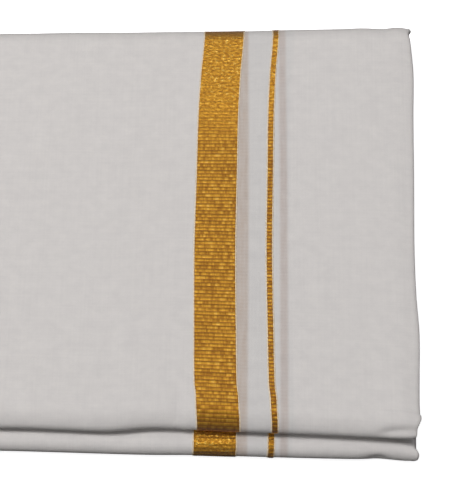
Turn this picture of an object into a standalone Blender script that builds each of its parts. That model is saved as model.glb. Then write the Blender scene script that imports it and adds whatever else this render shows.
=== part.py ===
# A cotton dhoti with a woven gold border, folded flat into a pack and laid on a table.
# Metres, +Z up. +X runs along the pack to the viewer's right, +Y runs away from the viewer.
#
# The cloth is 2.00 m long and 1.27 m wide. It is folded in half three times along its length,
# which makes a leaf of eight plies. The leaf is then folded in half across its width, both
# edges are gate-folded to the middle, and the gates are folded together. The pack has
# 64 plies in two slabs, with a mouth between the slabs at the front.
#
# A place on the pack's outer face is given by x and by q, the place along the path that the
# face follows round the pack, one unit for each of the runs named below.

import math
from collections import namedtuple

import bmesh
import bpy

mm = 0.001

# Cloth and folds
ply = 0.2375 * mm                   # one ply of the cotton, pressed
leaf = 8 * ply                      # the leaf of eight plies
roll_radius = 2 * leaf              # a front roll turns two leaves round themselves
slab = 2 * roll_radius              # one slab of the pack
seam = 0.3 * mm                     # gap between neighbouring solids
wall = leaf - 0.2 * mm              # the outer leaf, built as a wall
core_depth = wall + seam            # where the hidden layers begin, below the outer face
closed_mouth = 0.4 * mm             # the mouth's gap at its inner end
mouth_run = 62 * mm                 # how far in from the front the mouth closes
back_radius = slab + closed_mouth / 2   # the back fold goes round both slabs

# Woven border, across the cloth: a wide gold band and a thin gold line
band_left = 51.0 * mm
band_width = 13.8 * mm
line_left = 75.2 * mm
line_width = 2.0 * mm

# The path round the pack, from the gate inside the mouth to the other gate
runs = ("upper gate", "upper roll", "top", "back fold", "underside", "lower roll", "lower gate")
path_end = float(len(runs))
middle_of_back = runs.index("back fold") + 0.5
gate_length = 150 * mm              # about, to turn a seam into a step of q
path_reach = 0.002                  # how far along q the face's direction is measured

# Mesh fineness
run_steps = 10                      # along a gate, the top or the underside
roll_steps = 8                      # round a front roll
back_steps = 10                     # round the back fold, an even number
wall_end_turns = (45, 75)           # degrees round a wall's rounded end
core_end_turns = (45, 90, 135)      # degrees round a rounded edge of the hidden layers
sharp_angle = 50                    # degrees, above which an edge is shaded sharp

# The pack's outline at places along its length, in millimetres
Section = namedtuple("Section", "x back upper_front lower_front mouth")
sections = (
    Section(x=-125.0, back=77.6, upper_front=-76.0, lower_front=-79.2, mouth=1.2),
    Section(x=-98.0, back=78.2, upper_front=-76.4, lower_front=-79.9, mouth=1.0),
    Section(x=-66.0, back=78.0, upper_front=-75.9, lower_front=-79.5, mouth=1.3),
    Section(x=-34.0, back=78.7, upper_front=-76.7, lower_front=-80.0, mouth=1.0),
    Section(x=-8.0, back=79.2, upper_front=-76.6, lower_front=-80.1, mouth=1.1),
    Section(x=9.0, back=79.6, upper_front=-76.9, lower_front=-80.3, mouth=1.2),
    Section(x=24.0, back=80.0, upper_front=-77.3, lower_front=-80.8, mouth=1.2),
    Section(x=38.0, back=80.3, upper_front=-75.7, lower_front=-80.9, mouth=1.4),
    Section(x=51.0, back=80.7, upper_front=-76.2, lower_front=-81.0, mouth=1.2),
    Section(x=66.0, back=81.1, upper_front=-76.9, lower_front=-81.1, mouth=1.3),
    Section(x=83.0, back=82.0, upper_front=-77.5, lower_front=-81.2, mouth=1.6),
    Section(x=100.0, back=82.5, upper_front=-78.1, lower_front=-81.3, mouth=1.8),
    Section(x=109.0, back=82.8, upper_front=-78.4, lower_front=-80.8, mouth=2.0),
    Section(x=116.0, back=82.4, upper_front=-78.7, lower_front=-81.4, mouth=2.2),
    Section(x=121.0, back=83.3, upper_front=-79.0, lower_front=-82.0, mouth=2.2),
    Section(x=126.0, back=83.0, upper_front=-79.3, lower_front=-82.4, mouth=2.1),
)

# Where the folded ends lie along the path, and how far the border has drifted to the right
# there, in millimetres
Edge = namedtuple("Edge", "q right left drift")
edges = (
    Edge(q=0.00, right=124.6, left=-124.6, drift=0.4),
    Edge(q=0.50, right=125.0, left=-125.2, drift=1.0),
    Edge(q=1.00, right=123.8, left=-124.9, drift=2.1),
    Edge(q=1.50, right=123.4, left=-124.4, drift=2.1),
    Edge(q=1.80, right=124.2, left=-124.7, drift=1.9),
    Edge(q=2.02, right=125.5, left=-125.1, drift=1.6),
    Edge(q=2.06, right=124.7, left=-125.2, drift=1.2),
    Edge(q=2.18, right=125.0, left=-125.0, drift=0.6),
    Edge(q=2.42, right=124.8, left=-124.7, drift=0.0),
    Edge(q=2.60, right=125.3, left=-125.1, drift=0.2),
    Edge(q=2.78, right=126.0, left=-125.5, drift=0.4),
    Edge(q=2.90, right=126.1, left=-125.3, drift=1.0),
    Edge(q=3.00, right=125.2, left=-125.0, drift=1.9),
    Edge(q=3.14, right=124.5, left=-124.8, drift=2.0),
    Edge(q=3.32, right=125.7, left=-125.0, drift=2.0),
    Edge(q=3.60, right=125.4, left=-125.4, drift=1.8),
    Edge(q=4.00, right=125.8, left=-125.2, drift=1.5),
    Edge(q=4.50, right=125.0, left=-124.7, drift=0.5),
    Edge(q=4.90, right=125.6, left=-125.3, drift=0.7),
    Edge(q=5.30, right=124.4, left=-125.0, drift=0.8),
    Edge(q=5.60, right=125.2, left=-124.8, drift=0.9),
    Edge(q=6.00, right=124.9, left=-125.2, drift=1.0),
    Edge(q=6.50, right=125.4, left=-124.9, drift=0.5),
    Edge(q=7.00, right=124.8, left=-125.1, drift=0.4),
)

# The largest creases and swells of the top and the upper roll: each runs from one place to
# another, is as wide as `width`, and is pushed out by `rise` (a trough where negative).
# Places are x and the distance back from the top of the roll, all in millimetres.
Crease = namedtuple("Crease", "x_from back_from x_to back_to width rise")
creases = (
    Crease(x_from=106.0, back_from=-3.5, x_to=126.0, back_to=1.0, width=2.6, rise=-0.5),
    Crease(x_from=112.0, back_from=7.0, x_to=127.0, back_to=9.0, width=6.0, rise=0.35),
    Crease(x_from=-70.0, back_from=60.0, x_to=-10.0, back_to=86.0, width=15.0, rise=0.30),
    Crease(x_from=-110.0, back_from=22.0, x_to=-76.0, back_to=12.0, width=9.0, rise=-0.30),
    Crease(x_from=10.0, back_from=122.0, x_to=120.0, back_to=128.0, width=14.0, rise=0.25),
)
crease_tip = 0.08                   # a crease fades at its tips, but not quite to nothing
top_fade = 0.125                    # creases fade out over this last share of the top

# Colours as red, green and blue, then roughness and how metallic the surface is
Finish = namedtuple("Finish", "colour roughness metallic")
finishes = {
    "cotton": Finish(colour=(0.62, 0.59, 0.57), roughness=0.85, metallic=0.0),
    "zari": Finish(colour=(0.50, 0.25, 0.03), roughness=0.35, metallic=0.8),
}

# Woven zones of the outer wall, from left to right: the side each begins and ends at
Zone = namedtuple("Zone", "name begins ends finish")
zones = (
    Zone(name="field_left", begins="left end", ends="band left", finish="cotton"),
    Zone(name="zari_band", begins="band left", ends="band right", finish="zari"),
    Zone(name="field_middle", begins="band right", ends="line left", finish="cotton"),
    Zone(name="zari_line", begins="line left", ends="line right", finish="zari"),
    Zone(name="field_right", begins="line right", ends="right end", finish="cotton"),
)
stretches = ("upper", "lower")

# Where walls and hidden layers have their cross sections, in millimetres along x. The
# hidden layers have a section near each border of the woven zones too.
stations = (-98, -66, -34, -8, 9, 24, 31, 38, 45, 58.5, 71, 83, 92, 100, 109, 116, 121)
border_stations = (52, 66, 77)
room_after_begin = 3.0 * mm         # no station stands closer than this to a zone's left side
room_before_end = 1.5 * mm          # nor closer than this to its right side
core_recess = 0.5 * mm              # the hidden layers stop this far short of the outer ends
core_sway = 0.3 * mm                # and wander in and out by this much
sway_rate = 2.3                     # radians for each unit of q
sway_start = {"left": 2.1, "right": 0.4}

centre_shift = [0.0, 0.0]           # set by centre_pack, so that the pack stands on the origin


def blend(a, b, t):
    return a + (b - a) * t


# A smooth curve through a table's column: a cubic between rows, level at both ends
def read_table(rows, key, column, place):
    places = [getattr(row, key) for row in rows]
    values = [getattr(row, column) for row in rows]
    last = len(rows) - 1
    if place <= places[0]:
        return values[0]
    if place >= places[last]:
        return values[last]
    i = max(n for n in range(last) if places[n] <= place)
    span = places[i + 1] - places[i]

    def slope(n):
        if n in (0, last):
            return 0.0
        return (values[n + 1] - values[n - 1]) / (places[n + 1] - places[n - 1])

    t = (place - places[i]) / span
    a, b = values[i], values[i + 1]
    rise_a, rise_b = slope(i) * span, slope(i + 1) * span
    return ((2 * t ** 3 - 3 * t ** 2 + 1) * a + (t ** 3 - 2 * t ** 2 + t) * rise_a
            + (3 * t ** 2 - 2 * t ** 3) * b + (t ** 3 - t ** 2) * rise_b)


def outline(x, column):
    return read_table(sections, "x", column, x / mm) * mm


def edge(q, column):
    return read_table(edges, "q", column, q) * mm


# The gap between the slabs: widest at the front and eased shut towards the back
def mouth_gap(x, y):
    inward = (y - outline(x, "upper_front") - roll_radius) / mouth_run
    inward = min(max(inward, 0.0), 1.0)
    return closed_mouth + (outline(x, "mouth") - closed_mouth) * (1 - inward) ** 2


# How far the creases push the outer face out at a place on the top or the upper roll
def crease_rise(x, back):
    total = 0.0
    for crease in creases:
        from_x, from_back = crease.x_from * mm, crease.back_from * mm
        step_x, step_back = crease.x_to * mm - from_x, crease.back_to * mm - from_back
        along = (x - from_x) * step_x + (back - from_back) * step_back
        along = min(max(along / (step_x ** 2 + step_back ** 2), 0.0), 1.0)
        away = math.hypot(x - from_x - along * step_x, back - from_back - along * step_back)
        fade = math.sin(math.pi * blend(crease_tip, 1 - crease_tip, along))
        total += crease.rise * mm * fade * math.exp(-(away / (crease.width * mm)) ** 2)
    return total


# The outer face at a place on the path, as y and z
def face_point(x, q):
    upper_roll = outline(x, "upper_front") + roll_radius
    lower_roll = outline(x, "lower_front") + roll_radius
    back = outline(x, "back") - back_radius
    run = min(int(q), len(runs) - 1)
    t = q - run
    turn = math.radians(blend(-90, 90, t))
    if runs[run] == "upper gate":
        y = blend(back, upper_roll, t)
        return y, slab + mouth_gap(x, y)
    if runs[run] == "upper roll":
        radius = roll_radius + t * crease_rise(x, -roll_radius * (math.pi / 2 - turn))
        centre = slab + mouth_gap(x, upper_roll) + roll_radius
        return upper_roll - radius * math.cos(turn), centre + radius * math.sin(turn)
    if runs[run] == "top":
        y = blend(upper_roll, back, t)
        rise = crease_rise(x, y - upper_roll) * min(1.0, (1 - t) / top_fade)
        return y, 2 * slab + mouth_gap(x, y) + rise
    if runs[run] == "back fold":
        return back + back_radius * math.cos(turn), back_radius * (1 - math.sin(turn))
    if runs[run] == "underside":
        return blend(back, lower_roll, t), 0.0
    if runs[run] == "lower roll":
        return lower_roll - roll_radius * math.cos(turn), roll_radius * (1 + math.sin(turn))
    return blend(lower_roll, back, t), slab


# A point of the cloth at a depth below its outer face
def cloth_point(x, q, depth):
    y_before, z_before = face_point(x, max(q - path_reach, 0.0))
    y_after, z_after = face_point(x, min(q + path_reach, path_end))
    length = math.hypot(y_after - y_before, z_after - z_before)
    out_y = -(z_after - z_before) / length
    out_z = (y_after - y_before) / length
    y, z = face_point(x, q)
    return (x + centre_shift[0], y - out_y * depth + centre_shift[1], z - out_z * depth)


# Places along the path: closer together where a run meets a roll, and even round a turn
def run_places(run):
    return [run + 0.5 - 0.5 * math.cos(math.pi * k / run_steps) for k in range(run_steps)]


def turn_places(run, steps):
    return [run + k / steps for k in range(steps)]


def whole_path():
    path = []
    for run, name in enumerate(runs):
        if "roll" in name:
            path += turn_places(run, roll_steps)
        elif name == "back fold":
            path += turn_places(run, back_steps)
        else:
            path += run_places(run)
    return path + [path_end]


# The outer wall shows as two stretches, which meet at the middle of the back fold; their
# free ends in the mouth stop one seam short of the hidden layers
def stretch_path(stretch):
    path = whole_path()
    half_seam = seam / 2 / (math.pi * back_radius)
    end_gap = seam / gate_length
    if stretch == "upper":
        between = [q for q in path if 0 < q < middle_of_back]
        return [end_gap] + between + [middle_of_back - half_seam]
    between = [q for q in path if middle_of_back < q < path_end]
    return [middle_of_back + half_seam] + between + [path_end - end_gap]


# Where a zone's side lies at q. Zones that meet stand half a seam back from their border.
def side_place(side, q, begins):
    borders = {"band left": band_left, "band right": band_left + band_width,
               "line left": line_left, "line right": line_left + line_width}
    if side in borders:
        half_seam = seam / 2 if begins else -seam / 2
        return borders[side] + edge(q, "drift") + half_seam
    return edge(q, "left" if side == "left end" else "right")


# One closed section of a wall: its outer face one way and its inner face back again
def wall_ring(path, x_at, depth_out, depth_in):
    outer = [cloth_point(x_at(q), q, depth_out) for q in path]
    inner = [cloth_point(x_at(q), q, depth_in) for q in reversed(path)]
    return outer + inner


# Sections that round off a wall at one of the pack's folded ends
def rounded_end(side, path):
    outward = -1 if side == "left end" else 1
    radius = wall / 2
    rings = []
    for degrees in wall_end_turns:
        turn = math.radians(degrees)
        tuck = radius * (1 - math.sin(turn))
        sink = radius * (1 - math.cos(turn))
        xs = {q: side_place(side, q, outward < 0) - outward * tuck for q in path}
        rings.append(wall_ring(path, xs.get, sink, wall - sink))
    return rings


# Sections of one zone's wall from its left side to its right side
def zone_rings(zone, path):
    radius = wall / 2
    left_tuck = radius if zone.begins == "left end" else 0.0
    right_tuck = radius if zone.ends == "right end" else 0.0
    lefts = {q: side_place(zone.begins, q, True) + left_tuck for q in path}
    rights = {q: side_place(zone.ends, q, False) - right_tuck for q in path}
    first = max(lefts.values()) + room_after_begin
    last = min(rights.values()) - room_before_end
    rings = [wall_ring(path, lefts.get, 0.0, wall)]
    for station in stations:
        if first < station * mm < last:
            xs = {q: station * mm for q in path}
            rings.append(wall_ring(path, xs.get, 0.0, wall))
    rings.append(wall_ring(path, rights.get, 0.0, wall))
    if left_tuck:
        rings = rounded_end(zone.begins, path)[::-1] + rings
    if right_tuck:
        rings += rounded_end(zone.ends, path)
    return rings


def add_ring(bm, points):
    return [bm.verts.new(point) for point in points]


# Faces between two rings of the same count
def skin(bm, ring_a, ring_b, closed=True):
    count = len(ring_a)
    for j in range(count if closed else count - 1):
        k = (j + 1) % count
        corners = []
        for corner in (ring_a[j], ring_a[k], ring_b[k], ring_b[j]):
            if corner not in corners:
                corners.append(corner)
        if len(corners) > 2:
            bm.faces.new(corners)


# Closes a wall's section by joining its outer face to its inner face
def close_wall(bm, ring):
    half = len(ring) // 2
    skin(bm, ring[:half], ring[:half - 1:-1], closed=False)


def finish_material(name, finish):
    material = bpy.data.materials.new(name + "_finish")
    material.use_nodes = True
    shader = material.node_tree.nodes["Principled BSDF"]
    shader.inputs["Base Color"].default_value = (*finish.colour, 1.0)
    shader.inputs["Roughness"].default_value = finish.roughness
    shader.inputs["Metallic"].default_value = finish.metallic
    material.diffuse_color = (*finish.colour, 1.0)
    return material


def finish_object(name, bm, finish_name):
    bmesh.ops.recalc_face_normals(bm, faces=bm.faces)
    bmesh.ops.triangulate(bm, faces=bm.faces)
    mesh = bpy.data.meshes.new(name)
    bm.to_mesh(mesh)
    bm.free()
    mesh.shade_smooth()
    mesh.set_sharp_from_angle(angle=math.radians(sharp_angle))
    mesh.materials.append(finish_material(name, finishes[finish_name]))
    bpy.context.scene.collection.objects.link(bpy.data.objects.new(name, mesh))


def make_zone(zone, stretch):
    bm = bmesh.new()
    rings = [add_ring(bm, points) for points in zone_rings(zone, stretch_path(stretch))]
    for ring_a, ring_b in zip(rings, rings[1:]):
        skin(bm, ring_a, ring_b)
    close_wall(bm, rings[0])
    close_wall(bm, rings[-1])
    finish_object(stretch + "_" + zone.name, bm, zone.finish)


# Where the hidden layers end at q: short of the outer wall, and a little uneven
def core_end(side, q):
    inward = -1 if side == "right" else 1
    sway = core_sway * math.sin(sway_rate * q + sway_start[side])
    return edge(q, side) + inward * (core_recess + sway)


# The groove between the two hidden leaves of a slab is shared by the gate and the run that
# lies on it, and all of a front roll turns round one point of it. This gives the place on
# the path, counted from its start, whose groove point place k takes, or None for its own.
def groove_partner(k):
    roll_first = run_steps
    top_first = roll_first + roll_steps
    back_first = top_first + run_steps
    lower_roll_first = back_first + back_steps + run_steps
    lower_gate_first = lower_roll_first + roll_steps
    if roll_first < k <= top_first:
        return roll_first
    if top_first < k <= back_first:
        return back_first - k
    if lower_roll_first < k <= lower_gate_first:
        return lower_roll_first
    if k > lower_gate_first:
        return lower_roll_first - (k - lower_gate_first)
    return None


# One end of the hidden layers: in each slab two leaves with rounded edges and a groove
# between them, which runs on round the back fold, and a plain web inside the back fold
def close_core(bm, ring, path, side):
    inward = -1 if side == "right" else 1
    radius = (roll_radius - core_depth) / 2
    levels = [ring]
    for degrees in core_end_turns:
        turn = math.radians(degrees)
        tuck = inward * radius * (1 - math.sin(turn))
        depth = core_depth + radius * (1 - math.cos(turn))
        points = [cloth_point(core_end(side, q) + tuck, q, depth) for q in path]
        levels.append(add_ring(bm, points))
    groove = []
    for k, q in enumerate(path):
        partner = groove_partner(k)
        if partner is None:
            x = core_end(side, q) + inward * radius
            groove.append(bm.verts.new(cloth_point(x, q, roll_radius)))
        else:
            groove.append(groove[partner])
    levels.append(groove)
    for level_a, level_b in zip(levels, levels[1:]):
        skin(bm, level_a, level_b, closed=False)

    back_first = 2 * run_steps + roll_steps
    arc = groove[back_first:back_first + back_steps + 1]
    lower_column = [level[-1] for level in levels[-2::-1]]
    upper_column = [level[0] for level in levels[:-1]]
    bm.faces.new(arc + lower_column + upper_column)


def make_core():
    bm = bmesh.new()
    path = whole_path()
    radius = (roll_radius - core_depth) / 2
    left_end = [core_end("left", q) + radius for q in path]
    right_end = [core_end("right", q) - radius for q in path]
    between = [[station * mm] * len(path) for station in sorted(stations + border_stations)]
    rings = []
    for xs in [left_end] + between + [right_end]:
        points = [cloth_point(x, q, core_depth) for x, q in zip(xs, path)]
        rings.append(add_ring(bm, points))
    for ring_a, ring_b in zip(rings, rings[1:]):
        skin(bm, ring_a, ring_b)
    close_core(bm, rings[0], path, "left")
    close_core(bm, rings[-1], path, "right")
    finish_object("hidden_layers", bm, "cotton")


# Measures the outer wall, and shifts the pack so that the origin is under its middle
def centre_pack():
    xs, ys = [], []
    for stretch in stretches:
        for zone in zones:
            for ring in zone_rings(zone, stretch_path(stretch)):
                xs += [point[0] for point in ring]
                ys += [point[1] for point in ring]
    centre_shift[0] = -(min(xs) + max(xs)) / 2
    centre_shift[1] = -(min(ys) + max(ys)) / 2


def main():
    for old in list(bpy.data.objects):
        bpy.data.objects.remove(old, do_unlink=True)
    centre_pack()
    for stretch in stretches:
        for zone in zones:
            make_zone(zone, stretch)
    make_core()


main()
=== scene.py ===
import math

import bmesh
import bpy
import numpy as np
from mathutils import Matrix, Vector


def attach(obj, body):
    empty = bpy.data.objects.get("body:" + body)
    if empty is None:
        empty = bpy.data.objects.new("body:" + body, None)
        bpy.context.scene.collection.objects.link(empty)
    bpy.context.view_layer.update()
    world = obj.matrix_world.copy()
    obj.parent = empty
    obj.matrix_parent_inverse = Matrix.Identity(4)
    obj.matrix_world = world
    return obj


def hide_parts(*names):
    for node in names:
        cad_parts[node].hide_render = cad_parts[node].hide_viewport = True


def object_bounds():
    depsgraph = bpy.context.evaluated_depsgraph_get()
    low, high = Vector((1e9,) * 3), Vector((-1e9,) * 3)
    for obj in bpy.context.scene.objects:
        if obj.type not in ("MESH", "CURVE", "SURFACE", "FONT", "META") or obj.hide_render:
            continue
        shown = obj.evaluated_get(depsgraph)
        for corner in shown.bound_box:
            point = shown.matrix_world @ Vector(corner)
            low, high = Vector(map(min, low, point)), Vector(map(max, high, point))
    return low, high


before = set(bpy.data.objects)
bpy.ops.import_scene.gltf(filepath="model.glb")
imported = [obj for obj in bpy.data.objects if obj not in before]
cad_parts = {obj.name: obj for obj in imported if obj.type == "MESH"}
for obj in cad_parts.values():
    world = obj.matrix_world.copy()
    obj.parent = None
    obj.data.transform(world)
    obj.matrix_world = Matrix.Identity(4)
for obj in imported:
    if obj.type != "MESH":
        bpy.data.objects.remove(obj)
cadLow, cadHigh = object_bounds()
scene = bpy.context.scene
metre = 0.001  # sizes below are in millimetres, meshes are in metres
mapX = 126.0  # the cloth's own map starts this far left of the pack's middle
mapS = 170.0  # and this far before the top of the upper roll
ribPitch = 1.33  # of the woven border
print("frame loaded")


# The folded pack. A place on its outer face is x, and q along the path that the cloth
# follows round it: 0-1 gate in the mouth, 1-2 upper roll, 2-3 top, 3-4 back fold,
# 4-5 underside, 5-6 lower roll, 6-7 the other gate.
pack = {
    "ply": 0.2375,
    "leaf": 1.9,  # eight plies
    "rollRadius": 3.8,
    "slab": 7.6,
    "easeRadius": 9.4,  # the upper roll bends slowly at first, then closely at its nose
    "easeTurn": 48.0,
    "backRadius": 7.8,
    "closedMouth": 0.4,
    "mouthRun": 62.0,
    "pressed": {"from": 0.93, "to": 1.85, "over": 0.12},  # stretches of the path, by q
    "resting": {"from": 4.0, "to": 5.15, "over": 0.15},
    "sections": [
        {"x": -125.0, "back": 77.6, "upper": -75.2, "lower": -79.2, "mouth": 1.2},
        {"x": -98.0, "back": 78.2, "upper": -75.6, "lower": -79.9, "mouth": 1.0},
        {"x": -66.0, "back": 78.0, "upper": -75.1, "lower": -79.5, "mouth": 1.3},
        {"x": -34.0, "back": 78.6, "upper": -75.8, "lower": -80.1, "mouth": 1.0},
        {"x": -8.0, "back": 79.2, "upper": -75.7, "lower": -80.2, "mouth": 1.1},
        {"x": 9.0, "back": 79.8, "upper": -76.1, "lower": -80.5, "mouth": 1.2},
        {"x": 24.0, "back": 80.0, "upper": -76.5, "lower": -80.8, "mouth": 1.2},
        {"x": 38.0, "back": 80.4, "upper": -75.3, "lower": -81.0, "mouth": 1.4},
        {"x": 51.0, "back": 80.7, "upper": -75.5, "lower": -80.9, "mouth": 1.2},
        {"x": 66.0, "back": 81.1, "upper": -76.1, "lower": -81.1, "mouth": 1.3},
        {"x": 83.0, "back": 81.9, "upper": -76.7, "lower": -81.4, "mouth": 1.6},
        {"x": 100.0, "back": 82.5, "upper": -77.4, "lower": -81.6, "mouth": 1.8},
        {"x": 109.0, "back": 83.0, "upper": -77.9, "lower": -81.6, "mouth": 2.0},
        {"x": 116.0, "back": 82.8, "upper": -78.3, "lower": -81.7, "mouth": 2.2},
        {"x": 121.0, "back": 83.5, "upper": -78.7, "lower": -82.3, "mouth": 2.2},
        {"x": 126.0, "back": 83.1, "upper": -79.0, "lower": -83.0, "mouth": 2.1},
    ],
    # ends of the pack along the path, and how far the border and its shadow drift right
    "ends": [
        {"q": 0.00, "right": 124.4, "left": -124.6, "drift": 0.4, "under": 0.2},
        {"q": 0.50, "right": 124.6, "left": -125.2, "drift": 1.0, "under": 0.2},
        {"q": 1.00, "right": 123.6, "left": -124.9, "drift": 2.1, "under": 0.3},
        {"q": 1.30, "right": 123.5, "left": -124.6, "drift": 2.1, "under": 0.3},
        {"q": 1.42, "right": 123.7, "left": -124.4, "drift": 2.1, "under": 0.3},
        {"q": 1.61, "right": 123.9, "left": -124.6, "drift": 2.0, "under": 0.3},
        {"q": 1.80, "right": 124.9, "left": -124.8, "drift": 1.8, "under": 0.3},
        {"q": 1.90, "right": 125.1, "left": -125.0, "drift": 1.7, "under": 0.3},
        {"q": 2.01, "right": 124.6, "left": -125.1, "drift": 1.6, "under": 0.3},
        {"q": 2.05, "right": 124.7, "left": -125.2, "drift": 1.0, "under": 0.3},
        {"q": 2.20, "right": 125.4, "left": -125.0, "drift": 0.5, "under": 0.2},
        {"q": 2.30, "right": 124.8, "left": -124.9, "drift": 0.2, "under": 0.2},
        {"q": 2.42, "right": 124.7, "left": -124.7, "drift": 0.0, "under": 0.1},
        {"q": 2.60, "right": 125.3, "left": -125.1, "drift": 0.2, "under": 0.0},
        {"q": 2.78, "right": 125.8, "left": -125.5, "drift": 0.4, "under": -0.3},
        {"q": 2.90, "right": 126.3, "left": -125.3, "drift": 1.0, "under": -0.5},
        {"q": 3.00, "right": 125.6, "left": -125.0, "drift": 1.9, "under": -0.6},
        {"q": 3.14, "right": 125.1, "left": -124.8, "drift": 2.0, "under": -0.6},
        {"q": 3.32, "right": 126.2, "left": -125.0, "drift": 2.0, "under": -0.6},
        {"q": 3.60, "right": 125.4, "left": -125.4, "drift": 1.8, "under": -0.4},
        {"q": 4.00, "right": 125.8, "left": -125.2, "drift": 1.5, "under": 0.0},
        {"q": 4.50, "right": 125.0, "left": -124.7, "drift": 0.5, "under": 0.3},
        {"q": 4.90, "right": 124.9, "left": -125.3, "drift": 0.7, "under": 0.3},
        {"q": 4.97, "right": 124.3, "left": -125.2, "drift": 0.7, "under": 0.3},
        {"q": 5.30, "right": 124.4, "left": -125.0, "drift": 0.8, "under": 0.3},
        {"q": 5.60, "right": 124.8, "left": -124.8, "drift": 0.9, "under": 0.3},
        {"q": 5.78, "right": 124.8, "left": -125.0, "drift": 1.0, "under": 0.3},
        {"q": 6.00, "right": 123.7, "left": -125.2, "drift": 1.0, "under": 0.3},
        {"q": 6.02, "right": 123.4, "left": -125.2, "drift": 1.0, "under": 0.3},
        {"q": 6.06, "right": 124.5, "left": -125.1, "drift": 1.0, "under": 0.3},
        {"q": 6.50, "right": 125.0, "left": -124.9, "drift": 0.5, "under": 0.2},
        {"q": 7.00, "right": 124.6, "left": -125.1, "drift": 0.4, "under": 0.2},
    ],
}

# Creases and swells. s runs along the cloth from the top of the upper
# roll: 0 to 141 over the top, to 166 round the back fold, to 316 below, to 328 at the top
# of the lower roll. Each runs from one place to another and stands out by its rise.
creases = [
    {"x1": 110.5, "s1": -9.0, "x2": 119.5, "s2": -6.6, "wide": 1.2, "rise": -0.50},
    {"x1": 113.0, "s1": -7.4, "x2": 127.0, "s2": -6.3, "wide": 1.3, "rise": -0.56},
    {"x1": 112.0, "s1": 333.0, "x2": 130.0, "s2": 331.6, "wide": 3.6, "rise": -0.9},
    {"x1": 112.0, "s1": 5.6, "x2": 127.0, "s2": 7.6, "wide": 6.0, "rise": 0.35},
    {"x1": 47.3, "s1": 6.1, "x2": 46.9, "s2": -9.4, "wide": 1.6, "rise": -0.42},
    {"x1": 48.9, "s1": -2.4, "x2": 49.1, "s2": -12.4, "wide": 1.1, "rise": 0.28},
    {"x1": -22.0, "s1": 26.2, "x2": 36.0, "s2": 27.8, "wide": 1.7, "rise": -0.26},
    {"x1": -26.0, "s1": 22.2, "x2": 22.0, "s2": 20.2, "wide": 2.0, "rise": -0.26},
    {"x1": -18.0, "s1": 16.2, "x2": 30.0, "s2": 13.8, "wide": 2.3, "rise": -0.30},
    {"x1": 16.0, "s1": 33.0, "x2": 50.0, "s2": 33.4, "wide": 1.4, "rise": -0.18},
    {"x1": 24.0, "s1": 59.6, "x2": 38.0, "s2": 86.6, "wide": 2.2, "rise": -0.20},
    {"x1": 92.0, "s1": 32.6, "x2": 121.0, "s2": 39.6, "wide": 2.4, "rise": -0.20},
    {"x1": 96.0, "s1": 106.6, "x2": 118.0, "s2": 129.6, "wide": 3.2, "rise": 0.14},
    {"x1": 108.5, "s1": 321.9, "x2": 114.5, "s2": 322.2, "wide": 2.0, "rise": -0.95},
    {"x1": 119.4, "s1": 329.6, "x2": 120.2, "s2": 324.2, "wide": 0.9, "rise": 0.24},
    {"x1": -70.0, "s1": 58.6, "x2": -10.0, "s2": 84.6, "wide": 15.0, "rise": 0.30},
    {"x1": -110.0, "s1": 20.6, "x2": -76.0, "s2": 10.6, "wide": 9.0, "rise": -0.30},
    {"x1": -124.0, "s1": 33.6, "x2": -70.0, "s2": 39.6, "wide": 2.2, "rise": -0.16},
    {"x1": -98.0, "s1": 99.6, "x2": -60.0, "s2": 116.6, "wide": 2.4, "rise": -0.14},
    {"x1": 10.0, "s1": 120.6, "x2": 120.0, "s2": 126.6, "wide": 14.0, "rise": 0.25},
    {"x1": -118.0, "s1": 157.6, "x2": -30.0, "s2": 160.1, "wide": 2.4, "rise": -0.30},
    {"x1": -20.0, "s1": 153.6, "x2": 52.0, "s2": 155.1, "wide": 2.0, "rise": -0.22},
    {"x1": 84.0, "s1": 158.6, "x2": 126.0, "s2": 153.6, "wide": 2.2, "rise": -0.30},
    {"x1": -96.0, "s1": 323.6, "x2": -52.0, "s2": 325.6, "wide": 1.8, "rise": -0.25},
    {"x1": -88.0, "s1": -7.4, "x2": -84.0, "s2": 4.6, "wide": 2.0, "rise": -0.25},
]


def readTable(rows, key, column, at):  # a smooth curve through a column, level at its ends
    places = np.array([row[key] for row in rows])
    values = np.array([row[column] for row in rows])
    slopes = np.zeros(len(rows))
    slopes[1:-1] = (values[2:] - values[:-2]) / (places[2:] - places[:-2])
    at = np.clip(at, places[0], places[-1])
    i = np.clip(np.searchsorted(places, at, side="right") - 1, 0, len(rows) - 2)
    span = places[i + 1] - places[i]
    t = (at - places[i]) / span
    return ((2 * t**3 - 3 * t**2 + 1) * values[i] + (t**3 - 2 * t**2 + t) * span * slopes[i]
            + (3 * t**2 - 2 * t**3) * values[i + 1] + (t**3 - t**2) * span * slopes[i + 1])


def outline(x, column):
    return readTable(pack["sections"], "x", column, x)


def along(q, column):
    return readTable(pack["ends"], "q", column, q)


def blend(a, b, t):
    return a + (b - a) * t


def mouthGap(x, y):
    inward = np.clip((y - outline(x, "upper") - pack["rollRadius"]) / pack["mouthRun"], 0, 1)
    return pack["closedMouth"] + (outline(x, "mouth") - pack["closedMouth"]) * (1 - inward) ** 2


# The upper roll is two arcs: the ease from the top, and the closer nose that it runs into
easeAngle = math.radians(pack["easeTurn"])
easeLength = pack["easeRadius"] * easeAngle
noseCut = 1 - math.cos(easeAngle)
noseRadius = (pack["slab"] - pack["easeRadius"] * noseCut) / (2 - noseCut)
noseLength = noseRadius * (math.pi - easeAngle)
easeStart = (pack["easeRadius"] - noseRadius) * math.sin(easeAngle) + noseRadius


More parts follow.
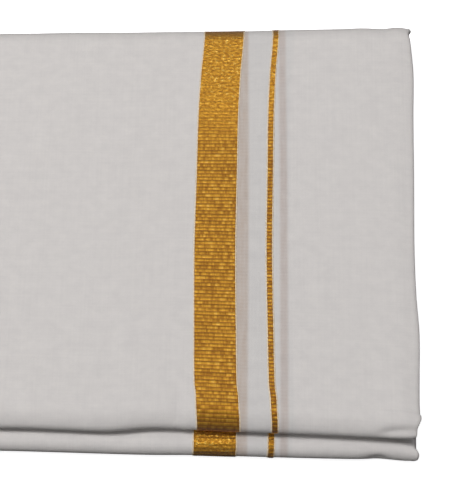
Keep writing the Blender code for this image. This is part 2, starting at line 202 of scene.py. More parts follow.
def upperRoll(t):  # from below to the top: how far forward of the bend's start, and how high
    run = t * (noseLength + easeLength)
    nose = math.pi - run / noseRadius
    ease = (noseLength + easeLength - run) / pack["easeRadius"]
    noseY = easeStart - noseRadius + noseRadius * np.sin(nose)
    noseZ = noseRadius * (1 + np.cos(nose))
    easeY = pack["easeRadius"] * np.sin(ease)
    easeZ = pack["slab"] - pack["easeRadius"] * (1 - np.cos(ease))
    return np.where(run < noseLength, noseY, easeY), np.where(run < noseLength, noseZ, easeZ)


def plainFace(x, q):  # y and z of the outer face before creases
    x, q = np.broadcast_arrays(np.asarray(x, float), np.asarray(q, float))
    roll, slab, radius = pack["rollRadius"], pack["slab"], pack["backRadius"]
    upper = outline(x, "upper") + noseRadius
    upperTop = outline(x, "upper") + easeStart
    lower = outline(x, "lower") + roll
    back = outline(x, "back") - radius
    run = np.clip(np.floor(q), 0, 6).astype(int)
    t = q - run
    turn = np.radians(blend(-90, 90, t))
    gateY, topY = blend(back, upper, t), blend(upperTop, back, t)
    forward, height = upperRoll(t)
    y = np.choose(run, [gateY, upperTop - forward, topY, back + radius * np.cos(turn),
                        blend(back, lower, t), lower - roll * np.cos(turn), blend(lower, back, t)])
    z = np.choose(run, [slab + mouthGap(x, gateY), slab + mouthGap(x, upper) + height,
                        2 * slab + mouthGap(x, topY), radius * (1 - np.sin(turn)),
                        0 * t, roll * (1 + np.sin(turn)), 0 * t + slab])
    return y, z


def outward(x, q, reach=0.002):  # the direction that the face looks in, in y and z
    y1, z1 = plainFace(x, np.clip(q - reach, 0, 7))
    y2, z2 = plainFace(x, np.clip(q + reach, 0, 7))
    length = np.hypot(y2 - y1, z2 - z1)
    return -(z2 - z1) / length, (y2 - y1) / length


# Length along the cloth, measured once at the middle of the border, and back again to q
pathQ = np.linspace(0, 7, 7001)
pathY, pathZ = plainFace(60.0, pathQ)
pathS = np.concatenate([[0], np.cumsum(np.hypot(np.diff(pathY), np.diff(pathZ)))])
pathS -= np.interp(2.0, pathQ, pathS)


def lengthAt(q):
    return np.interp(q, pathQ, pathS)


def placeAt(s):
    return np.interp(s, pathS, pathQ)


def creaseLift(x, s):
    x, s = np.broadcast_arrays(x, s)
    total = np.zeros(x.shape)
    for crease in creases:
        stepX, stepS = crease["x2"] - crease["x1"], crease["s2"] - crease["s1"]
        run = ((x - crease["x1"]) * stepX + (s - crease["s1"]) * stepS) / (stepX**2 + stepS**2)
        run = np.clip(run, 0, 1)
        away = np.hypot(x - crease["x1"] - run * stepX, s - crease["s1"] - run * stepS)
        rise = crease["rise"] * np.sin(np.pi * blend(0.08, 0.92, run))  # lower toward its ends
        total += rise * np.exp(-(away / crease["wide"])**2)
    return total


def within(q, stretch):  # 1 in a stretch of the path, falling to 0 at its two ends
    return np.clip(np.minimum(q - stretch["from"], stretch["to"] - q) / stretch["over"], 0, 1)


def squeeze(q):  # the leaves are pressed thinner in the close bend
    near = within(q, pack["pressed"])
    return 1 - (1 - noseRadius / pack["rollRadius"]) * near * near * (3 - 2 * near)


def clothPoint(x, q, depth):  # millimetres, before the pack is centred on the frame
    x, q, depth = np.broadcast_arrays(*[np.asarray(value, float) for value in (x, q, depth)])
    y, z = plainFace(x, q)
    outY, outZ = outward(x, q)
    free = 1 - within(q, pack["resting"])  # flat where it lies on the floor
    lift = creaseLift(x, lengthAt(q)) * free - depth * squeeze(q)
    return np.stack([x, y + outY * lift, z + outZ * lift], axis=-1)


def centreOnFrame():  # from the two ends, the back fold and the lower roll
    q = pathQ[::10]
    ends = [clothPoint(along(q, side), q, 0) for side in ("left", "right")]
    xs = np.linspace(-124, 124, 125)
    points = np.concatenate(ends + [clothPoint(xs, at, 0) for at in (3.5, 5.5)])
    middle = (points.min(axis=0) + points.max(axis=0)) / 2
    frameMiddle = np.array((cadLow + cadHigh) / 2) / metre
    return np.array([frameMiddle[0] - middle[0], frameMiddle[1] - middle[1], 0.0])


shift = centreOnFrame()


def gridMesh(name, points, uv, attributes=(), solid=0.0, closed=False):
    # a grid of cloth: rows of points, with its own UV map in metres of cloth
    rows, columns = points.shape[:2]
    bm = bmesh.new()
    bmesh.ops.create_grid(bm, x_segments=columns - 1, y_segments=rows - 1, size=0.5)
    bm.verts.ensure_lookup_table()
    places = np.array([vert.co[:2] for vert in bm.verts]) + 0.5
    column = np.rint(places[:, 0] * (columns - 1)).astype(int)
    row = np.rint(places[:, 1] * (rows - 1)).astype(int)
    for vert, place in zip(bm.verts, (points[row, column] + shift) * metre):
        vert.co = place
    uvLayer = bm.loops.layers.uv.new("cloth")
    flat = uv[row, column] * metre
    for face in bm.faces:
        for loop in face.loops:
            loop[uvLayer].uv = flat[loop.vert.index]
    layers = [(bm.verts.layers.float.new(label), values[row, column])
              for label, values in attributes]
    for layer, values in layers:
        for vert, value in zip(bm.verts, values):
            vert[layer] = value
    if closed:
        bmesh.ops.remove_doubles(bm, verts=bm.verts, dist=0.002 * metre)
    mesh = bpy.data.meshes.new(name)
    bm.to_mesh(mesh)
    bm.free()
    mesh.shade_smooth()
    piece = bpy.data.objects.new(name, mesh)
    scene.collection.objects.link(piece)
    if solid:
        wall = piece.modifiers.new("cloth thickness", "SOLIDIFY")
        wall.thickness = solid * metre
        wall.offset = 0.0
    return piece


def newMaterial(name):
    material = bpy.data.materials.new(name)
    material.use_nodes = True
    return material, material.node_tree, material.node_tree.nodes["Principled BSDF"]


def addNode(tree, kind, inputs=None, **settings):  # inputs take a value or another node's output
    node = tree.nodes.new(kind)
    for key, value in settings.items():
        setattr(node, key, value)
    for key, value in (inputs or {}).items():
        if isinstance(value, bpy.types.NodeSocket):
            tree.links.new(value, node.inputs[key])
        else:
            node.inputs[key].default_value = value
    return node


def mathNode(tree, operation, *values):
    return addNode(tree, "ShaderNodeMath", dict(enumerate(values)), operation=operation).outputs[0]


def mixNode(tree, share, under, over):
    return addNode(tree, "ShaderNodeMix", {0: share, 2: under, 3: over}).outputs[0]


def mixColour(tree, share, under, over, blendType="MIX"):
    node = addNode(tree, "ShaderNodeMix", {0: share, 6: under, 7: over},
                   data_type="RGBA", blend_type=blendType)
    return node.outputs[2]


def clothMillimetres(tree):  # the piece's own UV map, as millimetres of cloth
    uv = addNode(tree, "ShaderNodeUVMap", uv_map="cloth").outputs[0]
    return addNode(tree, "ShaderNodeMapping", {"Vector": uv, "Scale": [1 / metre] * 3}).outputs[0]


def bumpNode(tree, height, depth, strength, under=None):  # depth in millimetres
    inputs = {"Height": height, "Distance": depth * metre, "Strength": strength}
    if under:
        inputs["Normal"] = under
    return addNode(tree, "ShaderNodeBump", inputs).outputs[0]


def stretchedNoise(tree, place, scaleX, scaleY, detail, rough):
    stretched = addNode(tree, "ShaderNodeMapping", {"Vector": place, "Scale": (scaleX, scaleY, 1)})
    noise = addNode(tree, "ShaderNodeTexNoise", {"Vector": stretched.outputs[0], "Scale": 1.0,
                                                "Detail": detail, "Roughness": rough})
    return noise.outputs[0]


def remap(tree, value, low, high, newLow=0.0, newHigh=1.0, smooth=False):
    node = addNode(tree, "ShaderNodeMapRange", {0: value, 1: low, 2: high, 3: newLow, 4: newHigh},
                   interpolation_type="SMOOTHSTEP" if smooth else "LINEAR")
    return node.outputs[0]


black = (0, 0, 0, 1)
paintedShadeRun = 146.0  # painted shade: the cloth is painted darker toward the front, fading out over this length back from the top of the upper roll


def colourOf(values):
    return (*values, 1)


# Noises are given as turns for each millimetre across and along, detail and roughness,
# and places across the cloth as left, right and how soft the sides are.
cottonLook = {
    "cloth": (0.605, 0.578, 0.562),
    "shade": (0.555, 0.530, 0.520),
    "shadeFrom": (0.70, 1.15),
    "mottle": (0.20, 0.26, 4.0, 0.66),
    "mottleShare": 1.1,
    "warpSlub": (0.03, 1.6, 2.0, 0.5),
    "weftSlub": (1.6, 0.03, 2.0, 0.5),
    "slubShare": 0.35,
    "threadPitch": 0.30,  # millimetres
    "threadBump": 0.02,
    "threadStrength": 0.5,
    "slubBump": 0.03,
    "roughness": 0.88,
    "specular": 0.25,
    "sheen": 0.12,
    "sheenRoughness": 0.5,
    "shows": (0.80, 0.685, 0.60),  # the next ply's gold border, seen through this one
    "showsAt": (55.0, 69.0, 0.7),
    "showsThin": (0.83, 0.74, 0.70),
    "showsThinAt": (79.6, 82.1, 0.7),
    "showsUneven": (0.9, 0.12, 3.0, 0.5),
    "unevenFrom": (0.3, 0.75),
    "showsLeast": 0.65,
    "showsBetweenRibs": 0.86,
    "stripeTint": (0.94, 0.95, 0.955),
    "stripeAt": (64.0, 82.6, 1.2),
    "paintedFrontShade": 0.045,  # painted shade: the cloth is painted a little darker toward the front
}


def stripeMask(tree, coordinate, left, right, soft):  # 1 between two places, with soft sides
    rise = remap(tree, coordinate, left - soft, left + soft, smooth=True)
    fall = remap(tree, coordinate, right - soft, right + soft, 1.0, 0.0, smooth=True)
    return mathNode(tree, "MULTIPLY", rise, fall)


def paintedShadeShare(tree, place, most):  # how much painted shade: nothing at the back fold, the most at the front
    s = addNode(tree, "ShaderNodeSeparateXYZ", {0: place}).outputs[1]
    return remap(tree, s, mapS, mapS + paintedShadeRun, most, 0.0)


def makeCotton():
    look = cottonLook
    material, tree, shader = newMaterial("cotton")
    place = clothMillimetres(tree)
    mottle = stretchedNoise(tree, place, *look["mottle"])
    warpSlub = stretchedNoise(tree, place, *look["warpSlub"])
    weftSlub = stretchedNoise(tree, place, *look["weftSlub"])
    slubs = mathNode(tree, "ADD", warpSlub, weftSlub)
    tone = mathNode(tree, "ADD", mathNode(tree, "MULTIPLY", mottle, look["mottleShare"]),
                    mathNode(tree, "MULTIPLY", slubs, look["slubShare"]))
    pale = remap(tree, tone, *look["shadeFrom"])
    colour = mixColour(tree, pale, colourOf(look["shade"]), colourOf(look["cloth"]))

    under = addNode(tree, "ShaderNodeAttribute", attribute_name="underX").outputs["Fac"]
    blotch = stretchedNoise(tree, place, *look["showsUneven"])
    uneven = remap(tree, blotch, *look["unevenFrom"], look["showsLeast"], 1.0)
    s = addNode(tree, "ShaderNodeSeparateXYZ", {0: place}).outputs[1]
    ladder = mathNode(tree, "SINE", mathNode(tree, "MULTIPLY", s, 2 * math.pi / ribPitch))
    ladder = remap(tree, ladder, -1.0, 1.0, look["showsBetweenRibs"], 1.0)
    uneven = mathNode(tree, "MULTIPLY", uneven, ladder)
    wide = mathNode(tree, "MULTIPLY", stripeMask(tree, under, *look["showsAt"]), uneven)
    thin = mathNode(tree, "MULTIPLY", stripeMask(tree, under, *look["showsThinAt"]), uneven)
    own = addNode(tree, "ShaderNodeAttribute", attribute_name="bandX").outputs["Fac"]
    between = stripeMask(tree, own, *look["stripeAt"])
    colour = mixColour(tree, between, colour, colourOf(look["stripeTint"]), "MULTIPLY")
    colour = mixColour(tree, wide, colour, colourOf(look["shows"]), "MULTIPLY")
    colour = mixColour(tree, thin, colour, colourOf(look["showsThin"]), "MULTIPLY")
    # painted shade, darker toward the front
    colour = mixColour(tree, paintedShadeShare(tree, place, look["paintedFrontShade"]), colour, black)
    tree.links.new(colour, shader.inputs["Base Color"])
    shader.inputs["Roughness"].default_value = look["roughness"]
    shader.inputs["Specular IOR Level"].default_value = look["specular"]
    shader.inputs["Sheen Weight"].default_value = look["sheen"]
    shader.inputs["Sheen Roughness"].default_value = look["sheenRoughness"]

    apart = addNode(tree, "ShaderNodeSeparateXYZ", {0: place})
    turns = 2 * math.pi / look["threadPitch"]
    warp = mathNode(tree, "SINE", mathNode(tree, "MULTIPLY", apart.outputs[0], turns))
    weft = mathNode(tree, "SINE", mathNode(tree, "MULTIPLY", apart.outputs[1], turns))
    weave = mathNode(tree, "MULTIPLY", warp, weft)
    woven = bumpNode(tree, weave, look["threadBump"], look["threadStrength"])
    tree.links.new(bumpNode(tree, slubs, look["slubBump"], 1.0, woven), shader.inputs["Normal"])
    return material


zariLook = {
    "gold": (0.88, 0.445, 0.036),
    "deep": (0.56, 0.240, 0.014),
    "groove": (0.45, 0.170, 0.026),
    "glint": (1.0, 0.66, 0.15),
    "goldFrom": (0.38, 0.60),  # of the dash noise
    "glintFrom": (0.58, 0.70),
    "evenDash": (0.68, 1.0, 2.0, 0.65),
    "looseDash": (0.80, 0.95, 2.0, 0.6),
    "dashStep": (7.37, 6.3),  # each rib's stretch of the noise lies this far from the last
    "crestFrom": (0.15, 0.70),
    "evenFill": 0.2,  # how far the crest's colour fills the grooves
    "looseFill": 0.7,
    "roughness": (0.27, 0.46),
    "roughFrom": (0.35, 0.65),
    "evenRough": 0.08,
    "evenGlint": 0.35,
    "evenDim": 0.23,  # the closely laid threads are duller than the loose ones
    # painted shade: the gold is painted a little darker toward the front
    "paintedFrontShade": 0.06,
    "metallic": 0.85,
    "sheen": 0.22,  # of the cotton inside the metal threads
    "sheenRoughness": 0.6,
    "sheenTint": (1.0, 0.72, 0.66),
    "threads": 0.4,  # millimetres between the metal threads of one rib
    "threadBump": 0.03,
    "threadStrength": 0.4,
    "sparkle": (0.9, 1.2, 2.0, 0.6),
    "sparkleBump": 0.34,
    "evenSparkle": 0.17,
    "looseFrom": 90.6,  # past here, toward the back fold, the threads lie less evenly
    "looseTo": 126.6,
}


def makeZari():
    look = zariLook
    material, tree, shader = newMaterial("zari")
    place = clothMillimetres(tree)
    apart = addNode(tree, "ShaderNodeSeparateXYZ", {0: place})
    across, s = apart.outputs[0], apart.outputs[1]
    loose = remap(tree, s, mapS + look["looseFrom"], mapS + look["looseTo"], smooth=True)
    rib = addNode(tree, "ShaderNodeAttribute", attribute_name="rib").outputs["Fac"]
    number = addNode(tree, "ShaderNodeAttribute", attribute_name="ribNumber").outputs["Fac"]
    whole = mathNode(tree, "FLOOR", mathNode(tree, "ADD", number, 0.5))
    stepX, stepY = look["dashStep"]
    ownX = mathNode(tree, "ADD", across, mathNode(tree, "MULTIPLY", whole, stepX))
    ownY = mathNode(tree, "MULTIPLY", whole, stepY)
    own = addNode(tree, "ShaderNodeCombineXYZ", {0: ownX, 1: ownY}).outputs[0]
    dash = mixNode(tree, loose, stretchedNoise(tree, own, *look["evenDash"]),
                   stretchedNoise(tree, place, *look["looseDash"]))

    def byLoose(even, free):
        return remap(tree, loose, 0.0, 1.0, even, free)

    golden = remap(tree, dash, *look["goldFrom"])
    colour = mixColour(tree, golden, colourOf(look["deep"]), colourOf(look["gold"]))
    glint = remap(tree, dash, *look["glintFrom"])
    glint = mathNode(tree, "MULTIPLY", glint, byLoose(look["evenGlint"], 1.0))
    colour = mixColour(tree, glint, colour, colourOf(look["glint"]))
    fill = byLoose(look["evenFill"], look["looseFill"])
    crest = mathNode(tree, "MAXIMUM", remap(tree, rib, *look["crestFrom"], smooth=True), fill)
    colour = mixColour(tree, crest, colourOf(look["groove"]), colour)
    colour = mixColour(tree, byLoose(look["evenDim"], 0.0), colour, black)
    # painted shade, darker toward the front
    colour = mixColour(tree, paintedShadeShare(tree, place, look["paintedFrontShade"]), colour, black)
    tree.links.new(colour, shader.inputs["Base Color"])
    rough = remap(tree, dash, *look["roughFrom"], look["roughness"][1], look["roughness"][0])
    rough = mathNode(tree, "ADD", rough, byLoose(look["evenRough"], 0.0))
    tree.links.new(rough, shader.inputs["Roughness"])
    shader.inputs["Metallic"].default_value = look["metallic"]
    shader.inputs["Sheen Weight"].default_value = look["sheen"]
    shader.inputs["Sheen Roughness"].default_value = look["sheenRoughness"]
    shader.inputs["Sheen Tint"].default_value = colourOf(look["sheenTint"])

    threads = mathNode(tree, "SINE", mathNode(tree, "MULTIPLY", s, 2 * math.pi / look["threads"]))
    laid = bumpNode(tree, threads, look["threadBump"], look["threadStrength"])
    sparkle = stretchedNoise(tree, place, *look["sparkle"])
    strength = byLoose(look["evenSparkle"], 1.0)
    sparkling = bumpNode(tree, sparkle, look["sparkleBump"], strength, laid)
    tree.links.new(sparkling, shader.inputs["Normal"])
    return material


edgeLook = {
    "pale": (0.66, 0.56, 0.42),
    "dull": (0.58, 0.46, 0.30),
    "fleck": (1.0, 1.1, 2.0, 0.5),
    "dullFrom": (0.4, 0.65),
    "roughness": 0.8,
    "bump": 0.05,
    "strength": 0.5,
}


def makeEdgeThread():
    look = edgeLook
    material, tree, shader = newMaterial("edgeThread")
    place = clothMillimetres(tree)
    fleck = stretchedNoise(tree, place, *look["fleck"])
    share = remap(tree, fleck, *look["dullFrom"])
    colour = mixColour(tree, share, colourOf(look["pale"]), colourOf(look["dull"]))
    tree.links.new(colour, shader.inputs["Base Color"])
    shader.inputs["Roughness"].default_value = look["roughness"]
    tree.links.new(bumpNode(tree, fleck, look["bump"], look["strength"]), shader.inputs["Normal"])
    return material


cotton = makeCotton()
zari = makeZari()
edgeThread = makeEdgeThread()
print("materials made")

# Rows along the path: close together at the rolls and the back fold
fineRows = {"gate": 26, "roll": 18, "top": 72, "back": 30, "under": 40}
plainRows = {"gate": 14, "roll": 12, "top": 24, "back": 20, "under": 20}


def pathRows(counts):
    def eased(run, count):
        return run + 0.5 - 0.5 * np.cos(np.pi * np.arange(count) / count)

    def even(run, count):
        return run + np.arange(count) / count

    return np.concatenate([
        eased(0, counts["gate"]), even(1, counts["roll"]), eased(2, counts["top"]),
        even(3, counts["back"]), eased(4, counts["under"]), even(5, counts["roll"]),
        eased(6, counts["gate"]), [7.0],
    ])[:, None]


def sheetPiece(name, x, q, depth, material, flatX=None, extra=(), solid=0.0, closed=False):
    x, q, depth = np.broadcast_arrays(x, q, depth)
    flatX = x if flatX is None else flatX + 0 * x
    uv = np.stack([flatX + mapX, lengthAt(q) + mapS], axis=-1)
    layers = [("bandX", flatX - along(q, "drift")), ("underX", flatX - along(q, "under")), *extra]
    piece = gridMesh(name, clothPoint(x, q, depth), uv, layers, solid, closed)
    piece.data.materials.append(material)
    return piece


outer = {
    "columns": 150,
    "turnSteps": 14,
    "reach": 2.2,  # how far the right end's round turn reaches out
    "returns": [2.0, 5.0, 8.0],
    "droop": 0.45,
    "droopWide": 2.1,
    "sharpAt": 3.3,  # the corner at the back fold is fuller
    "sharpWide": 0.3,
    "sharpShare": 0.65,
}


def makeOuterPly():  # the ply that shows, all round the pack; it turns under at the right end
    ply, leaf = pack["ply"], pack["leaf"]
    radius = leaf / 2 - ply / 2
    q = pathRows(fineRows)
    soft = 1 - outer["sharpShare"] * np.exp(-((q - outer["sharpAt"]) / outer["sharpWide"]) ** 2)
    reach = outer["reach"] * soft
    flat = np.linspace(0, 1, outer["columns"])[None, :]
    turn = np.radians(np.linspace(0, 180, outer["turnSteps"])[1:])[None, :]
    inward = np.array(outer["returns"])[None, :]
    left, right = along(q, "left"), along(q, "right") - reach - ply / 2
    x = np.concatenate([blend(left, right, flat), right + reach * np.sin(turn),
                        right - inward], axis=1)
    depth = np.concatenate([0 * flat + ply / 2, leaf / 2 - radius * np.cos(turn),
                            0 * inward + leaf - ply / 2], axis=1)
    droop = outer["droop"] * soft * np.exp(-np.clip(right - x, 0, None) / outer["droopWide"])
    arc = (radius + reach) / 2
    wrap = np.concatenate([0 * flat * q, arc * turn, arc * math.pi + inward], axis=1)
    flatX = np.where(wrap > 0, right + wrap, x)
    return sheetPiece("outerPly", x, q, depth + droop, cotton, flatX, solid=ply)


outerPly = makeOuterPly()
print("outer ply made")

inner = {
    "columns": 40,
    "turnSteps": 10,
    "recess": 0.35,
    "sway": 0.25,  # its end isn't quite straight along the path
    "swayTurns": 9.1,
    "swayPhase": 0.6,
    "leftInset": 13.0,
    "deepest": 3.62,
}


def makeInnerLeaf():  # the eight plies below, as one folded leaf
    ply, leaf = pack["ply"], pack["leaf"]
    radius = leaf / 2 - ply / 2
    q = pathRows(plainRows)
    right = along(q, "right") - inner["recess"] - leaf / 2
    right = right + inner["sway"] * np.sin(inner["swayTurns"] * q + inner["swayPhase"])
    left = along(q, "left") + inner["leftInset"]
    turn = np.radians(np.linspace(0, 180, inner["turnSteps"]))[None, :]
    leg = np.linspace(0, 1, inner["columns"])[None, :]
    x = np.concatenate([blend(left, right, leg)[:, :-1], right + radius * np.sin(turn),
                        blend(right, left, leg)[:, 1:], left], axis=1)
    depth = np.concatenate([0 * leg[:, :-1] + leaf + ply / 2, leaf * 1.5 - radius * np.cos(turn),
                            0 * leg[:, 1:] + 2 * leaf - ply / 2, [[leaf + ply / 2]]], axis=1)
    depth = np.minimum(depth, inner["deepest"])
    return sheetPiece("innerLeaf", x, q, depth, cotton, solid=ply, closed=True)


# The left end, where the plies of each leaf end: depths are counted in plies from the
# outer face. A ply that is two deep or more is a fold; the others are the cloth's own ends.
leftPlies = [
    {"top": 1, "bottom": 2, "recess": 4.9, "sway": 0.30, "phase": 0.3},
    {"top": 2, "bottom": 4, "recess": 0.9, "sway": 0.35, "phase": 1.7},
    {"top": 4, "bottom": 8, "recess": 0.3, "sway": 0.30, "phase": 2.9},
    {"top": 8, "bottom": 12, "recess": 0.5, "sway": 0.35, "phase": 4.0},
    {"top": 12, "bottom": 14, "recess": 1.1, "sway": 0.35, "phase": 5.2},
    {"top": 14, "bottom": 15, "recess": 4.6, "sway": 0.30, "phase": 0.9},
]
leftEnd = {"legs": [14.5, 9.0, 4.0], "swayTurns": 7.3, "turnSteps": 9, "thickShare": 0.9}


def makeLeftPly(number, row):
    ply = pack["ply"]
    q = pathRows(plainRows)
    left = along(q, "left")
    end = left + row["recess"] + row["sway"] * np.sin(leftEnd["swayTurns"] * q + row["phase"])
    top = row["top"] * ply + ply / 2
    bottom = row["bottom"] * ply - ply / 2
    legs = np.array(leftEnd["legs"])[None, :]
    if bottom - top < ply / 2:
        x = np.concatenate([left + legs, end], axis=1)
        depth = np.full((1, legs.size + 1), top)
    else:
        radius = (bottom - top) / 2
        turn = np.radians(np.linspace(0, 180, leftEnd["turnSteps"]))[None, :]
        x = np.concatenate([left + legs, end + radius - radius * np.sin(turn),
                            left + legs[:, ::-1]], axis=1)
        depth = np.concatenate([0 * legs + top, (top + bottom) / 2 - radius * np.cos(turn),
                                0 * legs + bottom], axis=1)
    depth = np.minimum(depth, inner["deepest"])
    return sheetPiece(f"leftPly{number}", x, q, depth, cotton, solid=ply * leftEnd["thickShare"])


innerLeaf = makeInnerLeaf()
leftEdges = [makeLeftPly(number, row) for number, row in enumerate(leftPlies, 1)]
print("inner leaves made")

gateEnd = {
    "radius": 1.85,
    "reach": 1.2,
    "upperLevel": 9.9,
    "lowerLevel": 5.6,
    "half": 123.4,  # of its length
    "tip": 2.0,  # it rounds off over this length
    "tipLeast": 0.0004,
    "stations": 48,
    "turnSteps": 21,
    "mapAt": 200.0,
}


def makeGateEnd(name, level):  # a leaf turned back on itself, where a gate stops in the fold
    half = gateEnd["half"]
    x = np.linspace(-half, half, gateEnd["stations"])[:, None]
    fromTip = 1 - np.clip(np.minimum(x + half, half - x) / gateEnd["tip"], 0, 1)
    radius = gateEnd["radius"] * np.sqrt(np.clip(1 - fromTip ** 2, gateEnd["tipLeast"], 1))
    turn = np.linspace(0, 2 * math.pi, gateEnd["turnSteps"])[None, :]
    y = outline(x, "back") - pack["backRadius"] + gateEnd["reach"] + radius * np.cos(turn)
    z = level + radius * np.sin(turn)
    points = np.stack([x + 0 * turn, y, z], axis=-1)
    uv = np.stack([x + mapX + 0 * turn, gateEnd["mapAt"] + 3 * turn + 0 * x], axis=-1)
    layers = [("bandX", x + 0 * turn), ("underX", 0 * x + 0 * turn)]
    piece = gridMesh(name, points, uv, layers, closed=True)
    piece.data.materials.append(cotton)
    return piece


gateEnds = [makeGateEnd("upperGateEnd", gateEnd["upperLevel"]),
            makeGateEnd("lowerGateEnd", gateEnd["lowerLevel"])]

band = {"left": 51.0, "width": 13.8, "height": 0.135, "narrow": 0.8, "columns": 10}
line = {"left": 75.08, "width": 2.0, "height": 0.17, "narrow": 1.7, "columns": 3}
ribs = {
    "steps": 6,
    "base": 0.05,
    "thick": 0.06,
    "taper": 0.40,  # the ribs go down under their edges over this width
    "wobble": 0.03,
    "uneven": 0.25,
    "flatAt": 138.6,  # pressed flatter near the back fold
    "flatWide": 42.0,
    "flatShare": 0.85,
}
edging = {
    "width": 0.42,
    "scallop": 0.06,
    "over": 0.11,
    "above": 0.03,
    "lift": 0.01,
    "thick": 0.05,
    "steps": 4,
    "fullBy": 1.6,  # it reaches its height before its inner side
}


def ribRows(steps):  # turns of the ribs' wave along the whole path, and the length of one
    total = pathS[-1] - pathS[0]
    count = int(total / ribPitch)
    return np.linspace(0, count, count * steps + 1)[:, None], total / count


def ribForm(stripe, turns, across, s):  # each point's rib, its part of a crest and its height
    # slow waves, so that no two ribs are quite alike
    waves = np.sin(0.43 * turns + 5.0 * across) + np.sin(0.171 * turns + 2.0) * 0.8
    wander = ribs["wobble"] * waves
    crest = np.abs(np.cos(np.pi * (turns + wander))) ** stripe["narrow"]
    uneven = ribs["uneven"] * np.sin(2.4 * np.floor(turns + 0.5) + 3.0 * across)
    flatter = ribs["flatShare"] * np.exp(-((s - ribs["flatAt"]) / ribs["flatWide"]) ** 2)
    height = stripe["height"] * (1 + uneven) * (1 - flatter)
    fromEdge = np.minimum(across, 1 - across) * stripe["width"] / ribs["taper"]
    return turns + wander, crest, height * crest * np.sin(np.pi / 2 * np.clip(fromEdge, 0, 1))


def makeRibs(name, stripe):
    turns, pitch = ribRows(ribs["steps"])
    taper = ribs["taper"] / stripe["width"]
    middle = np.linspace(taper, 1 - taper, stripe["columns"])
    across = np.concatenate([[0, taper / 2], middle, [1 - taper / 2, 1]])[None, :]
    s = pathS[0] + (turns + 0 * across) * pitch
    q = placeAt(np.clip(s, pathS[0], pathS[-1]))
    x = stripe["left"] + along(q, "drift") + stripe["width"] * across
    number, crest, height = ribForm(stripe, turns, across, s)
    marks = [("rib", crest), ("ribNumber", number)]
    return sheetPiece(name, x, q, -ribs["base"] - height, zari, extra=marks, solid=ribs["thick"])


zariBand = makeRibs("zariBand", band)
zariLine = makeRibs("zariLine", line)


def makeEdging(name, stripe, side):  # cotton threads that hold the ends of the ribs
    turns, pitch = ribRows(edging["steps"])
    across = np.array([-0.5, -0.25, 0.0, 0.25, 0.5])[None, :]
    s = pathS[0] + turns * pitch
    q = placeAt(s)
    place = (stripe["width"] if side > 0 else 0.0) + side * (edging["width"] / 2 - edging["over"])
    width = edging["width"] * (1 + edging["scallop"] * np.cos(2 * np.pi * turns))
    fromLeft = place + width * across
    inward = 0.5 - side * across  # nothing at the outer side, 1 where it lies on the ribs
    onRibs = ribForm(stripe, turns, np.clip(fromLeft / stripe["width"], 0, 1), s)[2]
    share = np.sin(np.pi / 2 * np.clip(inward * edging["fullBy"], 0, 1))
    lift = edging["lift"] + (ribs["base"] + edging["above"]) * share
    x = stripe["left"] + along(q, "drift") + fromLeft
    return sheetPiece(name, x, q, -lift - onRibs, edgeThread, solid=edging["thick"])


edgings = [makeEdging(f"edging{label}", stripe, side)
           for label, stripe, side in (("BandLeft", band, -1), ("BandRight", band, 1),
                                       ("LineLeft", line, -1), ("LineRight", line, 1))]
print("border made")

cottonPieces = [outerPly, innerLeaf, *leftEdges, *gateEnds]
for piece in [*cottonPieces, zariBand, zariLine, *edgings]:
    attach(piece, "root")
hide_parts(*[f"{part}_field_{side}" for part in ("upper", "lower")
                        for side in ("left", "middle", "right")])
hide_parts("hidden_layers")
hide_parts("upper_zari_band", "lower_zari_band")
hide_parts("upper_zari_line", "lower_zari_line")


ground = {"size": 3.0, "drop": 0.3, "tone": 0.95, "roughness": 0.9, "glow": 0.8}


def makeFloor():
    bm = bmesh.new()
    bmesh.ops.create_grid(bm, x_segments=1, y_segments=1, size=ground["size"])
    bmesh.ops.translate(bm, verts=bm.verts, vec=(0, 0, -ground["drop"] * metre))
    mesh = bpy.data.meshes.new("floor")
    bm.to_mesh(mesh)
    bm.free()
    floor = bpy.data.objects.new("floor", mesh)
    scene.collection.objects.link(floor)
    material, _, shader = newMaterial("paleFloor")
    shader.inputs["Base Color"].default_value = colourOf([ground["tone"]] * 3)
    shader.inputs["Roughness"].default_value = ground["roughness"]
    shader.inputs["Emission Color"].default_value = (1, 1, 1, 1)
    shader.inputs["Emission Strength"].default_value = ground["glow"]
    mesh.materials.append(material)
    floor.visible_diffuse = False  # the cloth isn't lit from below
    floor.visible_glossy = False


makeFloor()

view = {
    "target": (61.8, -12.1, 16.5),
    "turn": 0.75,
    "elevation": 60.4,
    "distance": 750.0,
    "lens": 162.0,
}


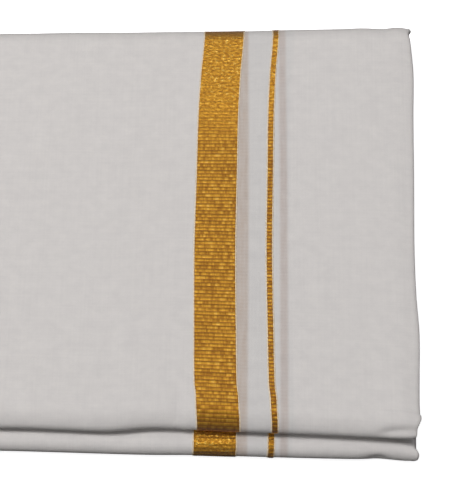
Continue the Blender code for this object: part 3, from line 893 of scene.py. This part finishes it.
def makeCamera():
    turn, tilt = math.radians(view["turn"]), math.radians(view["elevation"])
    level = math.cos(tilt)
    forward = Vector((-math.sin(turn) * level, math.cos(turn) * level, -math.sin(tilt)))
    camera = bpy.data.objects.new("camera", bpy.data.cameras.new("camera"))
    camera.data.lens = view["lens"]
    camera.data.sensor_width = 36.0
    camera.data.clip_start = 0.01
    target = (Vector(view["target"]) + Vector(shift)) * metre
    camera.location = target - forward * view["distance"] * metre
    camera.rotation_mode = "QUATERNION"
    camera.rotation_quaternion = forward.to_track_quat("-Z", "Y")
    scene.collection.objects.link(camera)
    scene.camera = camera


makeCamera()

lights = [  # metres and watts; one makes the gloss alone, the others all but the gloss
    {"name": "key", "from": (-0.34, -0.10, 1.0), "away": 2.0, "size": 0.55, "power": 31.0},
    {"name": "front", "from": (0.0, -0.87, 0.5), "away": 1.8, "size": 1.2, "power": 3.9},
    {"name": "back", "from": (0.2, 0.7, 0.7), "away": 1.8, "size": 1.2, "power": 3.8},
    {"name": "panel", "from": (0.0, 0.14, 0.99), "away": 1.6, "size": 1.25, "power": 7.6,
     "gloss": True},
]


def addPanel(row):
    lamp = bpy.data.lights.new(row["name"], "AREA")
    lamp.shape = "SQUARE"
    lamp.size = row["size"]
    lamp.energy = row["power"]
    panel = bpy.data.objects.new(row["name"], lamp)
    direction = Vector(row["from"]).normalized()
    panel.location = direction * row["away"]
    panel.rotation_mode = "QUATERNION"
    panel.rotation_quaternion = (-direction).to_track_quat("-Z", "Y")
    panel.visible_glossy = row.get("gloss", False)
    panel.visible_diffuse = not panel.visible_glossy
    scene.collection.objects.link(panel)


for row in lights:
    addPanel(row)

room = {"above": 0.25, "level": 0.12, "below": 0.0, "brightFrom": 0.7, "edge": 0.05}


def makeRoomLight():
    world = bpy.data.worlds.new("studio")
    scene.world = world
    world.use_nodes = True
    tree = world.node_tree
    coordinate = addNode(tree, "ShaderNodeTexCoord")
    height = addNode(tree, "ShaderNodeSeparateXYZ", {0: coordinate.outputs["Generated"]}).outputs[2]
    sky = remap(tree, height, 0.0, room["brightFrom"], room["level"], room["above"])
    over = remap(tree, height, -room["edge"], room["edge"], smooth=True)
    strength = mixNode(tree, over, room["below"], sky)
    tree.links.new(strength, tree.nodes["Background"].inputs["Strength"])
    tree.nodes["Background"].inputs["Color"].default_value = (1, 1, 1, 1)


makeRoomLight()
scene.view_settings.view_transform = "Standard"
print("stage set")
